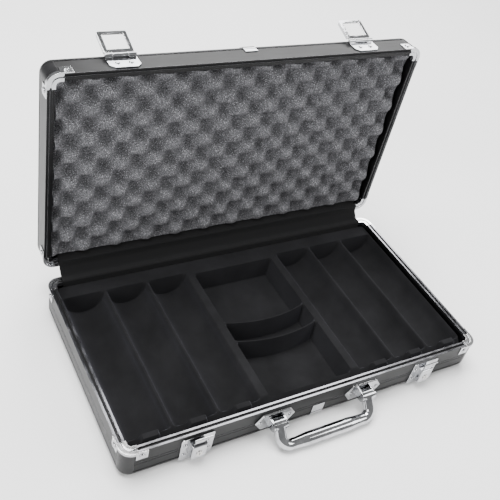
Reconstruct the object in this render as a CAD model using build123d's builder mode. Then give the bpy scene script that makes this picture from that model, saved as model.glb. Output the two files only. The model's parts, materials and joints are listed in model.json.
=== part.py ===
from build123d import *
import os
from math import radians, sin, cos

# Case for poker chips: a shallow base holding a flocked tray, and a padded lid on two rear
# hinges.  The lid stands open at a right angle.  Millimetres, +Z up, +X along the case's
# long side, -Y towards the front with the handle.  The origin is the middle of the
# underside of the base.

# ---- overall ----
CASE_W = 387.0          # outside width, X
CASE_D = 210.0          # outside depth, Y
BASE_H = 36.0           # base, underside to rim
LID_H = 29.0            # lid, rim to top panel
CORNER_R = 11.0         # outside corners seen from above
EDGE_R = 8.0            # rounded edge round each big panel
RIM_GAP = 0.3           # between the two rims when shut

# ---- frame section ----
WALL = 2.0
LIP = 11.0              # flange that carries the panel, from the outside face
RIM_W = 6.5
RIM_T = 3.0
TONGUE_W = 1.9
TONGUE_H = 1.2
TONGUE_IN = 2.3         # outside face to the tongue
TONGUE_FIT = 0.4
LINE_W = 1.4            # main groove along every rail, where the rounded edge ends
LINE_DEEP = 0.6
FINE_LINE_W = 0.7       # pair of fine grooves along the base rails
FINE_LINE_DEEP = 0.4
FINE_LINES = (18.0, 21.0)
PANEL_T = 1.2           # board edge that sits on the lip; its middle is flush outside
PANEL_FIT = 0.2
PANEL_CORNER_R = 3.0

# ---- rivets ----
RIVET_R = 1.2
RIVET_FIT = 0.05
RIVET_HEAD_R = 2.2
RIVET_HEAD_H = 1.1
RIVET_HEAD_TAPER = 32
RIVET_TAIL_R = 1.9
RIVET_TAIL = 0.6

# ---- hinge ----
HINGE_OUT = 8.0         # pin centre behind the rear wall, level with the base rim
HINGE_X = 112.0
LEAF_W = 40.0
LEAF_H = 17.0
LEAF_FROM_RIM = 4.0
LEAF_T = 1.2
LEAF_RIVET_X = 13.0
LEAF_RIVET_H = 12.5     # from either rim
KNUCKLE_R = 3.1
KNUCKLE_MID = 13.0
KNUCKLE_WEB = 6.0
PIN_R = 1.5
PIN_END = 1.0
RUN_FIT = 0.06
SIDE_FIT = 0.3
STOP_REACH = 8.9        # stop finger, from the pin centre
STOP_T = 2.0
STOP_ANGLE = 49.0

# ---- corner brackets ----
BRACKET_T = 0.9
BRACKET_REACH = 22.0
BRACKET_CAP = 14.0
BRACKET_BAND = 3.4      # strip round the corner, below the rim
BRACKET_EAR_W = 10.5    # ear at each end of the strip
BRACKET_EAR_H = 10.0
BRACKET_CHANNEL_T = 0.5  # wall of the channel pressed into the rim's groove
BRACKET_SEAT_FIT = 0.05
BRACKET_HEAD_R = 2.8
BRACKET_LEG = 4.2
BRACKET_RIVET_IN = 16.6
BRACKET_RIVET_DOWN = 5.4

# ---- tray ----
TRAY_GAP = 0.6
TRAY_TOP = 30.0
TRAY_SKIN = 1.8
ROW_R = 20.25           # 39 mm chips with room to lift
ROW_AXIS_Z = 28.5
ROW_PITCH = 44.0
ROW_FIRST_X = 76.0
ROWS_A_SIDE = 3
ROW_L = 166.0           # fifty chips of 3.3 mm
ROW_FRONT_IN = 11.0     # front wall of the troughs, from the front of the tray
NOTCH_W = 17.0
NOTCH_FLOOR_Z = 17.0
FRONT_SLOPE = 11.0
CARD_W = 90.0           # playing cards are 63 by 88 mm
CARD_BACK_IN = 21.0     # back of the rear well, from the back of the tray
CARD_L = 69.0
DICE_L = 20.5
DIV_T = 4.0
DIV_BULGE = 7.0
WELL_FLOOR_Z = 6.5

# ---- lid padding ----
FOAM_EDGE = 0.8
FOAM_FACE = 1.0         # foam face below the lid rim
FOAM_CORNER_R = 2.0

# ---- hasps ----
LATCH_X = 126.0
HASP_PLATE_W = 28.0
HASP_PLATE_LOW = 2.0
HASP_PLATE_T = 1.2
HASP_PLATE_CORNER = 4.0
HASP_RIVET_X = 6.0
HASP_RIVET_N = 9.0
HASP_AXIS_N = 19.0      # pivot, from the lid rim
HASP_AXIS_OUT = 2.8
HASP_KNUCKLE_R = 2.0
HASP_PIN_R = 0.8
HASP_PIN_END = 0.4
HASP_W = 27.0
HASP_L = 27.0
HASP_T = 1.2
HASP_SIDE = 3.6
HASP_BAR = 3.6
HASP_FLANGE = 2.2
HASP_TILT = 18.0        # above the lid wall when thrown back
HASP_BARREL_W = 14.0
HASP_START = 2.7        # near bar, from the pivot
HASP_CORNER_R = 2.0

# ---- latch bodies ----
LATCH_W = 31.0
LATCH_LOW = 3.0
LATCH_HIGH = 32.5
LATCH_T = 1.2
LATCH_CORNER_R = 2.0
LATCH_RIVET_X = 11.5
LATCH_RIVET_Z = (11.0, 24.0)
BOX_W = 14.0
BOX_LOW = 9.0
BOX_HIGH = 26.0
BOX_OUT = 7.0
BOX_WALL = 1.2
BOX_EDGE_R = 1.0
LOCK_Z = 16.0
LOCK_R = 3.0
LOCK_PROUD = 0.8
LOCK_GAP = 0.4          # behind the key cylinder
KEYWAY_W = 0.8
KEYWAY_L = 3.4
KEYWAY_DEEP = 2.0
SLIDE_T = 1.2
SLIDE_FIT = 0.3
SLIDE_AHEAD = 0.5       # catch slide in front of the closed hasp
SLIDE_TRAVEL = 4.5
CATCH_HALF = 4.8
CATCH_FREE = 0.3        # below the hasp bar when pressed down
LEG_W = 1.2
LEG_LOW_Z = 15.0
TAB_REACH = 11.8        # thumb tab, from the latch centre
TAB_H = 1.8
SPRING_R = 1.0
SPRING_WIRE_R = 0.18
SPRING_PITCH = 0.9
SPRING_FIT = 0.05

# ---- handle ----
MOUNT_X = 49.0
MOUNT_W = 42.0
MOUNT_H = 20.0
MOUNT_POINT = 7.0       # length of each pointed end
MOUNT_T = 2.4
MOUNT_EDGE = 0.9
MOUNT_RIVET_X = 15.5
EAR_FIT = 0.4           # each side of the bail's leg
EAR_T = 1.6
EAR_R = 5.2
HANDLE_CLEAR = 0.7      # from the bail's eye to the mount plate
HANDLE_AXIS_Z = 22.0
HANDLE_PIN_R = 1.6
HANDLE_PIN_END = 0.5
HANDLE_L = 21.0
HANDLE_DROP = 47.0      # below level when it lies on the table
HANDLE_LEG_R = 5.4
GRIP_R = 6.4
GRIP_L = 70.0
GRIP_TAPER = 12.0
HANDLE_BEND = 9.0

# ---- seam clips ----
CLIP_W = 13.0
CLIP_LOW = 1.5          # lower end, from the outer panel
BASE_CLIP_REACH = 20.0
LID_CLIP_REACH = 14.0
CLIP_T = 0.9
CLIP_LINE = 9.0
CLIP_LINE_W = 1.0

# ---- fabric over the hinge gap ----
LINING_T = 0.6
LINING_SIDE = 14.5      # each end, from the outside of the case
LINING_BASE_LOW_Z = 24.0
LINING_IN_LID = 12.0
LINING_CLEAR = 0.5

os.makedirs("parts", exist_ok=True)

lid_y = CASE_D / 2 + HINGE_OUT                  # lid rim plane when open
lid_z = BASE_H + HINGE_OUT                      # lid rear edge when open
lid_mid_z = lid_z + CASE_D / 2
lid_top_z = lid_z + CASE_D


def base_at(s):
    """Level plane s above the underside of the base."""
    return Plane.XY.offset(s)


def lid_at(s):
    """Plane s in from the lid's outer panel, facing the lid rim."""
    origin = (0, lid_y + RIM_GAP + LID_H - s, lid_mid_z)
    return Plane(origin=origin, x_dir=(1, 0, 0), z_dir=(0, -1, 0))


# Wall planes: local y runs up the base wall from the underside, or away from the lid rim.
base_front = Plane(origin=(0, -CASE_D / 2, 0), x_dir=(1, 0, 0), z_dir=(0, -1, 0))
base_rear = Plane(origin=(0, CASE_D / 2, 0), x_dir=(-1, 0, 0), z_dir=(0, 1, 0))
base_left = Plane(origin=(-CASE_W / 2, 0, 0), x_dir=(0, -1, 0), z_dir=(-1, 0, 0))
base_right = Plane(origin=(CASE_W / 2, 0, 0), x_dir=(0, 1, 0), z_dir=(1, 0, 0))
lid_rim_y = lid_y + RIM_GAP
lid_front = Plane(origin=(0, lid_rim_y, lid_top_z), x_dir=(1, 0, 0), z_dir=(0, 0, 1))
lid_rear = Plane(origin=(0, lid_rim_y, lid_z), x_dir=(-1, 0, 0), z_dir=(0, 0, -1))
lid_left = Plane(origin=(-CASE_W / 2, lid_rim_y, lid_mid_z), x_dir=(0, 0, 1), z_dir=(-1, 0, 0))
lid_right = Plane(origin=(CASE_W / 2, lid_rim_y, lid_mid_z), x_dir=(0, 0, -1), z_dir=(1, 0, 0))


def save(part, name):
    """Label one piece and write it to its own file."""
    part.label = name
    export_step(part, f"parts/{name}.step")


def bracket_rivets(height_up):
    """Every bracket rivet of one half, as (wall, u, h) on the given wall planes."""
    long_u = CASE_W / 2 - BRACKET_RIVET_IN
    short_u = CASE_D / 2 - BRACKET_RIVET_IN
    spots = []
    for wall in ("front", "rear"):
        spots += [(wall, -long_u, height_up), (wall, long_u, height_up)]
    for wall in ("left", "right"):
        spots += [(wall, -short_u, height_up), (wall, short_u, height_up)]
    return spots


base_walls = {"front": base_front, "rear": base_rear, "left": base_left, "right": base_right}
lid_walls = {"front": lid_front, "rear": lid_rear, "left": lid_left, "right": lid_right}
base_bracket_rivets = bracket_rivets(BASE_H - BRACKET_RIVET_DOWN)
lid_bracket_rivets = bracket_rivets(BRACKET_RIVET_DOWN)


# ---- frame of one half ----
def rim_groove(shrink):
    """Outline of the groove round a whole rim, narrower by the given amount on both sides."""
    outer = TONGUE_IN - TONGUE_FIT + shrink
    inner = TONGUE_IN + TONGUE_W + TONGUE_FIT - shrink
    with BuildSketch() as outline:
        RectangleRounded(CASE_W - 2 * outer, CASE_D - 2 * outer, CORNER_R - outer)
        RectangleRounded(CASE_W - 2 * inner, CASE_D - 2 * inner, CORNER_R - inner, mode=Mode.SUBTRACT)
    return outline.sketch


def frame_ring(at, height, tongue):
    """Whole frame of one half, before it is parted into rails and corner castings."""
    with BuildPart() as cavity:
        with BuildSketch(at(WALL)):
            RectangleRounded(CASE_W - 2 * WALL, CASE_D - 2 * WALL, CORNER_R - WALL)
        extrude(amount=height - RIM_T - WALL)
        bottom = cavity.faces().sort_by(Axis(at(0).origin, at(0).z_dir))[0]
        fillet(bottom.edges(), EDGE_R - WALL)
        with BuildSketch(at(height - RIM_T)):
            RectangleRounded(CASE_W - 2 * RIM_W, CASE_D - 2 * RIM_W, CORNER_R - RIM_W)
        extrude(amount=RIM_T)
        with BuildSketch(at(0)):
            Rectangle(CASE_W - 2 * LIP, CASE_D - 2 * LIP)
        extrude(amount=height)
    with BuildPart() as ring:
        with BuildSketch(at(0)):
            RectangleRounded(CASE_W, CASE_D, CORNER_R)
        extrude(amount=height)
        bottom = ring.faces().sort_by(Axis(at(0).origin, at(0).z_dir))[0]
        fillet(bottom.edges(), EDGE_R)
        add(cavity.part, mode=Mode.SUBTRACT)
        inset = TONGUE_IN if tongue else TONGUE_IN - TONGUE_FIT
        width = TONGUE_W if tongue else TONGUE_W + 2 * TONGUE_FIT
        depth = TONGUE_H + TONGUE_FIT
        with BuildSketch(at(height if tongue else height - depth)):
            RectangleRounded(CASE_W - 2 * inset, CASE_D - 2 * inset, CORNER_R - inset)
            inner = inset + width
            RectangleRounded(CASE_W - 2 * inner, CASE_D - 2 * inner, CORNER_R - inner,
                             mode=Mode.SUBTRACT)
        extrude(amount=TONGUE_H if tongue else depth, mode=Mode.ADD if tongue else Mode.SUBTRACT)
        # the corner brackets sit flush: the rim is lower under them
        with BuildSketch(at(height - BRACKET_T)):
            for sx in (-1, 1):
                for sy in (-1, 1):
                    with Locations((sx * CASE_W / 2, sy * CASE_D / 2)):
                        Rectangle(2 * BRACKET_CAP, 2 * BRACKET_CAP)
        extrude(amount=BRACKET_T + TONGUE_H + 1, mode=Mode.SUBTRACT)
        # and their pressed channel sinks into a groove there
        for sx in (-1, 1):
            for sy in (-1, 1):
                with BuildSketch(at(height - TONGUE_H - TONGUE_FIT)):
                    add(rim_groove(0))
                    with Locations((sx * CASE_W / 2, sy * CASE_D / 2)):
                        Rectangle(2 * BRACKET_CAP, 2 * BRACKET_CAP, mode=Mode.INTERSECT)
                extrude(amount=TONGUE_H + TONGUE_FIT, mode=Mode.SUBTRACT)
    return ring.part


def drill(walls, spots):
    """Through holes for the rivets at the given spots."""
    past = 3.0
    with BuildPart() as holes:
        for wall, u, h in spots:
            with BuildSketch(walls[wall].offset(-WALL - past)):
                with Locations((u, h)):
                    Circle(RIVET_R + RIVET_FIT)
            extrude(amount=WALL + 3 * past)
    return holes.part


def rail(ring, at, side, height, cutter, grooves):
    """One straight rail, cut from the ring, with the grooves (place, width, depth) outside."""
    past = 2.0
    band = CORNER_R + past
    long_side = side in ("front", "rear")
    length = (CASE_W if long_side else CASE_D) - 2 * CORNER_R
    flip = -1 if side in ("front", "left") else 1
    with BuildPart() as piece:
        add(ring)
        with BuildSketch(at(-past)):
            if long_side:
                with Locations((0, flip * (CASE_D / 2 + past - band / 2))):
                    Rectangle(length, band)
            else:
                with Locations((flip * (CASE_W / 2 + past - band / 2), 0)):
                    Rectangle(band, length)
        extrude(amount=height + TONGUE_H + 2 * past, mode=Mode.INTERSECT)
        for place, width, deep in grooves:
            with BuildSketch(at(place)):
                Rectangle(CASE_W + past, CASE_D + past)
                Rectangle(CASE_W - 2 * deep, CASE_D - 2 * deep, mode=Mode.SUBTRACT)
            extrude(amount=width, mode=Mode.SUBTRACT)
        add(cutter, mode=Mode.SUBTRACT)
    return piece.part


def castings(ring, at, height):
    """The four plain corner castings of one half."""
    with BuildPart() as piece:
        add(ring)
        with BuildSketch(at(-1)):
            for sx in (-1, 1):
                for sy in (-1, 1):
                    with Locations((sx * CASE_W / 2, sy * CASE_D / 2)):
                        Rectangle(2 * CORNER_R, 2 * CORNER_R)
        extrude(amount=height + TONGUE_H + 2, mode=Mode.INTERSECT)
    return piece.part


def panel(at):
    """Board resting on the frame's lip, with its middle flush with the outside."""
    inset = EDGE_R + PANEL_FIT
    with BuildPart() as board:
        with BuildSketch(at(WALL)):
            RectangleRounded(CASE_W - 2 * inset, CASE_D - 2 * inset, PANEL_CORNER_R)
        extrude(amount=PANEL_T)
        with BuildSketch(at(0)):
            Rectangle(CASE_W - 2 * (LIP + PANEL_FIT), CASE_D - 2 * (LIP + PANEL_FIT))
        extrude(amount=WALL)
    return board.part


def bracket(at, height, sx, sy, cutter):
    """Pressed corner bracket: a strip with an ear at each end, a channelled cap, a leg inside."""
    t = BRACKET_T
    inner = RIM_W + t
    corner = (sx * CASE_W / 2, sy * CASE_D / 2)
    plain = BRACKET_REACH - BRACKET_EAR_W
    sunk = TONGUE_H + TONGUE_FIT - BRACKET_SEAT_FIT
    with BuildPart() as piece:
        with BuildSketch(at(height - BRACKET_BAND)):
            RectangleRounded(CASE_W + 2 * t, CASE_D + 2 * t, CORNER_R + t)
            RectangleRounded(CASE_W, CASE_D, CORNER_R, mode=Mode.SUBTRACT)
            with Locations(corner):
                Rectangle(2 * BRACKET_REACH, 2 * BRACKET_REACH, mode=Mode.INTERSECT)
        extrude(amount=BRACKET_BAND)
        with BuildSketch(at(height - BRACKET_EAR_H)):
            RectangleRounded(CASE_W + 2 * t, CASE_D + 2 * t, CORNER_R + t)
            RectangleRounded(CASE_W, CASE_D, CORNER_R, mode=Mode.SUBTRACT)
            with Locations(corner):
                Rectangle(2 * BRACKET_REACH, 2 * BRACKET_REACH, mode=Mode.INTERSECT)
                Rectangle(2 * plain, 2 * plain, mode=Mode.SUBTRACT)
        extrude(amount=BRACKET_EAR_H - BRACKET_BAND)
        with BuildSketch(at(height - t)):
            RectangleRounded(CASE_W + 2 * t, CASE_D + 2 * t, CORNER_R + t)
            RectangleRounded(CASE_W - 2 * inner, CASE_D - 2 * inner, CORNER_R - inner, mode=Mode.SUBTRACT)
            with Locations(corner):
                Rectangle(2 * BRACKET_CAP, 2 * BRACKET_CAP, mode=Mode.INTERSECT)
        extrude(amount=t)
        with BuildSketch(at(height - BRACKET_LEG)):
            RectangleRounded(CASE_W - 2 * RIM_W, CASE_D - 2 * RIM_W, CORNER_R - RIM_W)
            RectangleRounded(CASE_W - 2 * inner, CASE_D - 2 * inner, CORNER_R - inner, mode=Mode.SUBTRACT)
            with Locations(corner):
                Rectangle(2 * BRACKET_CAP, 2 * BRACKET_CAP, mode=Mode.INTERSECT)
        extrude(amount=BRACKET_LEG)
        with BuildSketch(at(height - sunk)):
            add(rim_groove(BRACKET_SEAT_FIT))
            with Locations(corner):
                Rectangle(2 * BRACKET_CAP, 2 * BRACKET_CAP, mode=Mode.INTERSECT)
        extrude(amount=sunk)
        with BuildSketch(at(height - sunk + BRACKET_CHANNEL_T)):
            add(rim_groove(BRACKET_SEAT_FIT + BRACKET_CHANNEL_T))
            with Locations(corner):
                Rectangle(2 * BRACKET_CAP, 2 * BRACKET_CAP, mode=Mode.INTERSECT)
        extrude(amount=sunk, mode=Mode.SUBTRACT)
        add(cutter, mode=Mode.SUBTRACT)
    return piece.part


def rivets(walls, spots, under, head_r=RIVET_HEAD_R):
    """Dome-headed rivets; each head stands on a plate of the given thickness."""
    with BuildPart() as group:
        for wall, u, h in spots:
            with BuildSketch(walls[wall].offset(-WALL)):
                with Locations((u, h)):
                    Circle(RIVET_R)
            extrude(amount=WALL + under)
            with BuildSketch(walls[wall].offset(-WALL - RIVET_TAIL)):
                with Locations((u, h)):
                    Circle(RIVET_TAIL_R)
            extrude(amount=RIVET_TAIL)
            with BuildSketch(walls[wall].offset(under)):
                with Locations((u, h)):
                    Circle(head_r)
            extrude(amount=RIVET_HEAD_H, taper=RIVET_HEAD_TAPER)
    return group.part


# ---- where the other rivets go ----
leaf_us = [hx + s * LEAF_RIVET_X for hx in (-HINGE_X, HINGE_X) for s in (-1, 1)]
base_hinge_rivets = [("rear", u, BASE_H - LEAF_RIVET_H) for u in leaf_us]
lid_hinge_rivets = [("rear", u, LEAF_RIVET_H) for u in leaf_us]
latch_us = [lx + s * LATCH_RIVET_X for lx in (-LATCH_X, LATCH_X) for s in (-1, 1)]
latch_rivets = [("front", u, h) for u in latch_us for h in LATCH_RIVET_Z]
mount_us = [mx + s * MOUNT_RIVET_X for mx in (-MOUNT_X, MOUNT_X) for s in (-1, 1)]
mount_rivets = [("front", u, HANDLE_AXIS_Z) for u in mount_us]
hasp_us = [lx + s * HASP_RIVET_X for lx in (-LATCH_X, LATCH_X) for s in (-1, 1)]
hasp_rivets = [("front", u, HASP_RIVET_N) for u in hasp_us]

# ---- base and lid frames ----
base_ring = frame_ring(base_at, BASE_H, False)
lid_ring = frame_ring(lid_at, LID_H, True)
base_drill = drill(base_walls, base_bracket_rivets + base_hinge_rivets + latch_rivets + mount_rivets)
lid_drill = drill(lid_walls, lid_bracket_rivets + lid_hinge_rivets + hasp_rivets)
main_groove = (EDGE_R, LINE_W, LINE_DEEP)
base_grooves = [main_groove] + [(place, FINE_LINE_W, FINE_LINE_DEEP) for place in FINE_LINES]
for side in ("front", "rear", "left", "right"):
    save(rail(base_ring, base_at, side, BASE_H, base_drill, base_grooves), f"base_{side}_rail")
    # the lid is drawn from its outer panel, so its front and rear change places
    lid_side = {"front": "rear", "rear": "front"}.get(side, side)
    save(rail(lid_ring, lid_at, side, LID_H, lid_drill, [main_groove]), f"lid_{lid_side}_rail")
save(castings(base_ring, base_at, BASE_H), "base_corner_castings")
save(castings(lid_ring, lid_at, LID_H), "lid_corner_castings")
save(panel(base_at), "base_panel")
save(panel(lid_at), "lid_panel")
for sx, x_name in ((-1, "left"), (1, "right")):
    for sy, y_name in ((-1, "front"), (1, "rear")):
        save(bracket(base_at, BASE_H, sx, sy, base_drill), f"base_bracket_{y_name}_{x_name}")
        save(bracket(lid_at, LID_H, sx, -sy, lid_drill), f"lid_bracket_{y_name}_{x_name}")
save(rivets(base_walls, base_bracket_rivets, BRACKET_T, BRACKET_HEAD_R), "base_bracket_rivets")
save(rivets(lid_walls, lid_bracket_rivets, BRACKET_T, BRACKET_HEAD_R), "lid_bracket_rivets")

# ---- chip tray ----
tray_w = CASE_W - 2 * (RIM_W + BRACKET_T + TRAY_GAP)
tray_d = CASE_D - 2 * (RIM_W + BRACKET_T + TRAY_GAP)
tray_low = WALL + PANEL_T
tray_r = CORNER_R - RIM_W
tray_front_y = -tray_d / 2
row_front_y = tray_front_y + ROW_FRONT_IN
row_xs = []
for n in range(ROWS_A_SIDE):
    row_xs += [-ROW_FIRST_X - n * ROW_PITCH, ROW_FIRST_X + n * ROW_PITCH]
card_back_y = tray_d / 2 - CARD_BACK_IN
card_front_y = card_back_y - CARD_L
dice_back_y = card_front_y - DIV_T
dice_front_y = dice_back_y - DICE_L
front_back_y = dice_front_y - DIV_T


def row_shape(grow):
    """Half-round troughs for the rows of chips, grown outwards by the given skin."""
    with BuildPart() as rows:
        for x in row_xs:
            with BuildSketch(Plane.XZ.offset(-(row_front_y + ROW_L + grow))):
                with Locations((x, ROW_AXIS_Z)):
                    Circle(ROW_R + grow)
                with Locations((x, ROW_AXIS_Z + ROW_R)):
                    Rectangle(2 * (ROW_R + grow), 2 * ROW_R)
            extrude(amount=ROW_L + 2 * grow)
    return rows.part


def well(front_y, back_y, front_bulge, back_bulge, grow):
    """Straight-sided well whose front and back may bow towards the front."""
    half = CARD_W / 2 + grow
    f = front_y - grow
    b = back_y + grow
    with BuildPart() as hollow:
        with BuildSketch(Plane.XY.offset(WELL_FLOOR_Z - grow)):
            with BuildLine():
                Line((-half, f), (-half, b))
                if back_bulge:
                    ThreePointArc((-half, b), (0, b - back_bulge), (half, b))
                else:
                    Line((-half, b), (half, b))
                Line((half, b), (half, f))
                if front_bulge:
                    ThreePointArc((half, f), (0, f - front_bulge), (-half, f))
                else:
                    Line((half, f), (-half, f))
            make_face()
        extrude(amount=TRAY_TOP + ROW_R - WELL_FLOOR_Z)
    return hollow.part


def wells(grow):
    """Two card wells with the dice slot between their bowed dividers."""
    with BuildPart() as group:
        add(well(card_front_y, card_back_y, DIV_BULGE, 0, grow))
        add(well(dice_front_y, dice_back_y, DIV_BULGE, DIV_BULGE, grow))
        add(well(row_front_y, front_back_y, 0, DIV_BULGE, grow))
    return group.part


with BuildPart() as tray_block:
    with BuildSketch(Plane.XY.offset(tray_low)):
        RectangleRounded(tray_w, tray_d, tray_r)
    extrude(amount=TRAY_TOP - tray_low)
    # front edge slopes down towards the rim
    with BuildSketch(Plane.YZ.offset(-tray_w / 2)):
        with BuildLine():
            Polyline((tray_front_y, TRAY_TOP), (tray_front_y + FRONT_SLOPE, TRAY_TOP),
                     (tray_front_y, TRAY_TOP - FRONT_SLOPE), close=True)
        make_face()
    extrude(amount=tray_w, mode=Mode.SUBTRACT)

with BuildPart() as tray_hollow:
    with BuildSketch(Plane.XY.offset(tray_low)):
        RectangleRounded(tray_w - 2 * TRAY_SKIN, tray_d - 2 * TRAY_SKIN, tray_r - TRAY_SKIN)
    extrude(amount=TRAY_TOP - TRAY_SKIN - tray_low)
    with BuildSketch(Plane.YZ.offset(-tray_w / 2)):
        with BuildLine():
            Polyline((tray_front_y, TRAY_TOP), (tray_front_y + FRONT_SLOPE, TRAY_TOP),
                     (tray_front_y + FRONT_SLOPE, TRAY_TOP - 2 * TRAY_SKIN),
                     (tray_front_y, TRAY_TOP - FRONT_SLOPE - 2 * TRAY_SKIN), close=True)
        make_face()
    extrude(amount=tray_w, mode=Mode.SUBTRACT)
    add(row_shape(TRAY_SKIN), mode=Mode.SUBTRACT)
    add(wells(TRAY_SKIN), mode=Mode.SUBTRACT)

with BuildPart() as tray:
    add(tray_block.part)
    add(tray_hollow.part, mode=Mode.SUBTRACT)
    add(row_shape(0), mode=Mode.SUBTRACT)
    add(wells(0), mode=Mode.SUBTRACT)
    # finger notches through the front wall of each trough
    for x in row_xs:
        with BuildSketch(Plane.XY.offset(NOTCH_FLOOR_Z)):
            with Locations((x, row_front_y - ROW_FRONT_IN / 2)):
                Rectangle(NOTCH_W, ROW_FRONT_IN + 2 * TRAY_SKIN)
        extrude(amount=TRAY_TOP, mode=Mode.SUBTRACT)
save(tray.part, "chip_tray")

# ---- lid foam ----
foam_inset = RIM_W + BRACKET_T + FOAM_EDGE
with BuildPart() as foam:
    with BuildSketch(lid_at(WALL + PANEL_T)):
        RectangleRounded(CASE_W - 2 * foam_inset, CASE_D - 2 * foam_inset, FOAM_CORNER_R)
    extrude(amount=LID_H - WALL - PANEL_T - FOAM_FACE)
save(foam.part, "lid_foam")


# ---- hinges ----
def hinge_axis_plane(x):
    """Plane across the hinge pin; local x is -Y, local y is +Z."""
    return Plane(origin=(x, lid_y, BASE_H), x_dir=(0, -1, 0), z_dir=(-1, 0, 0))


def leaf_plate(wall, hx, middle_h, rivet_h):
    """Flat leaf with its two rivet holes, on a rear wall plane."""
    with BuildPart() as plate:
        with BuildSketch(wall):
            with Locations((-hx, middle_h)):
                Rectangle(LEAF_W, LEAF_H)
            for s in (-1, 1):
                with Locations((-hx + s * LEAF_RIVET_X, rivet_h)):
                    Circle(RIVET_R + RIVET_FIT, mode=Mode.SUBTRACT)
        extrude(amount=LEAF_T)
    return plate.part


def hinge(hx, name):
    """One rear hinge: base leaf, lid leaf with its stop finger, and pin."""
    side_w = (LEAF_W - KNUCKLE_MID) / 2
    mid = KNUCKLE_MID - 2 * SIDE_FIT
    leaf_middle = LEAF_FROM_RIM + LEAF_H / 2
    with BuildPart() as base_leaf:
        add(leaf_plate(base_rear, hx, BASE_H - leaf_middle, BASE_H - LEAF_RIVET_H))
        for start in (hx + LEAF_W / 2, hx - LEAF_W / 2 + side_w):
            with BuildSketch(hinge_axis_plane(start)):
                Circle(KNUCKLE_R)
                with BuildLine():
                    Polyline((0, -KNUCKLE_R), (0, 0), (HINGE_OUT, 0), (HINGE_OUT, -KNUCKLE_WEB), close=True)
                make_face()
                Circle(PIN_R, mode=Mode.SUBTRACT)
            extrude(amount=side_w)
    with BuildPart() as lid_leaf:
        add(leaf_plate(lid_rear, hx, leaf_middle, LEAF_RIVET_H))
        with BuildSketch(hinge_axis_plane(hx + mid / 2)):
            Circle(KNUCKLE_R)
            with BuildLine():
                Polyline((-KNUCKLE_R, 0), (0, 0), (0, HINGE_OUT), (-KNUCKLE_WEB, HINGE_OUT), close=True)
            make_face()
            with Locations(Location((0, 0), -STOP_ANGLE)):
                with Locations((STOP_REACH / 2 + PIN_R, 0)):
                    Rectangle(STOP_REACH - 2 * PIN_R, STOP_T)
            Circle(PIN_R + RUN_FIT, mode=Mode.SUBTRACT)
        extrude(amount=mid)
    with BuildPart() as pin:
        with BuildSketch(hinge_axis_plane(hx + LEAF_W / 2 + PIN_END)):
            Circle(PIN_R)
        extrude(amount=LEAF_W + 2 * PIN_END)
    save(base_leaf.part, f"hinge_base_leaf_{name}")
    save(lid_leaf.part, f"hinge_lid_leaf_{name}")
    save(pin.part, f"hinge_pin_{name}")


hinge(-HINGE_X, "left")
hinge(HINGE_X, "right")
save(rivets(base_walls, base_hinge_rivets, LEAF_T), "hinge_base_rivets")
save(rivets(lid_walls, lid_hinge_rivets, LEAF_T), "hinge_lid_rivets")


# ---- hasps on the lid ----
hasp_z = lid_top_z + HASP_AXIS_OUT
hasp_y = lid_rim_y + HASP_AXIS_N
knuckle_w = (HASP_PLATE_W - HASP_BARREL_W) / 2 - SIDE_FIT


def hasp_section(x):
    """Plane across the hasp pin; local x is +Y, local y is +Z."""
    return Plane(origin=(x, hasp_y, hasp_z), x_dir=(0, 1, 0), z_dir=(1, 0, 0))


def hasp_plate(lx):
    """Plate riveted to the lid, with a knuckle at each end of its far edge."""
    top = HASP_AXIS_N - HASP_KNUCKLE_R
    foot = -HASP_AXIS_OUT
    r = HASP_KNUCKLE_R
    with BuildPart() as plate:
        with BuildSketch(lid_front):
            with Locations((lx, (HASP_PLATE_LOW + top) / 2)):
                Rectangle(HASP_PLATE_W, top - HASP_PLATE_LOW)
            for s in (-1, 1):
                with Locations((lx + s * HASP_RIVET_X, HASP_RIVET_N)):
                    Circle(RIVET_R + RIVET_FIT, mode=Mode.SUBTRACT)
        extrude(amount=HASP_PLATE_T)
        chamfer(plate.edges().filter_by(Axis.Z).group_by(Axis.Y)[0], HASP_PLATE_CORNER)
        for start in (lx - HASP_PLATE_W / 2, lx + HASP_PLATE_W / 2 - knuckle_w):
            with BuildSketch(hasp_section(start)):
                Circle(r)
                with BuildLine():
                    Polyline((0, 0), (-r / 2, 0), (-r, -r / 2), (-2 * r, foot + HASP_PLATE_T),
                             (-2 * r, foot), (0, foot), close=True)
                make_face()
                Circle(HASP_PIN_R, mode=Mode.SUBTRACT)
            extrude(amount=knuckle_w)
    return plate.part


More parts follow.
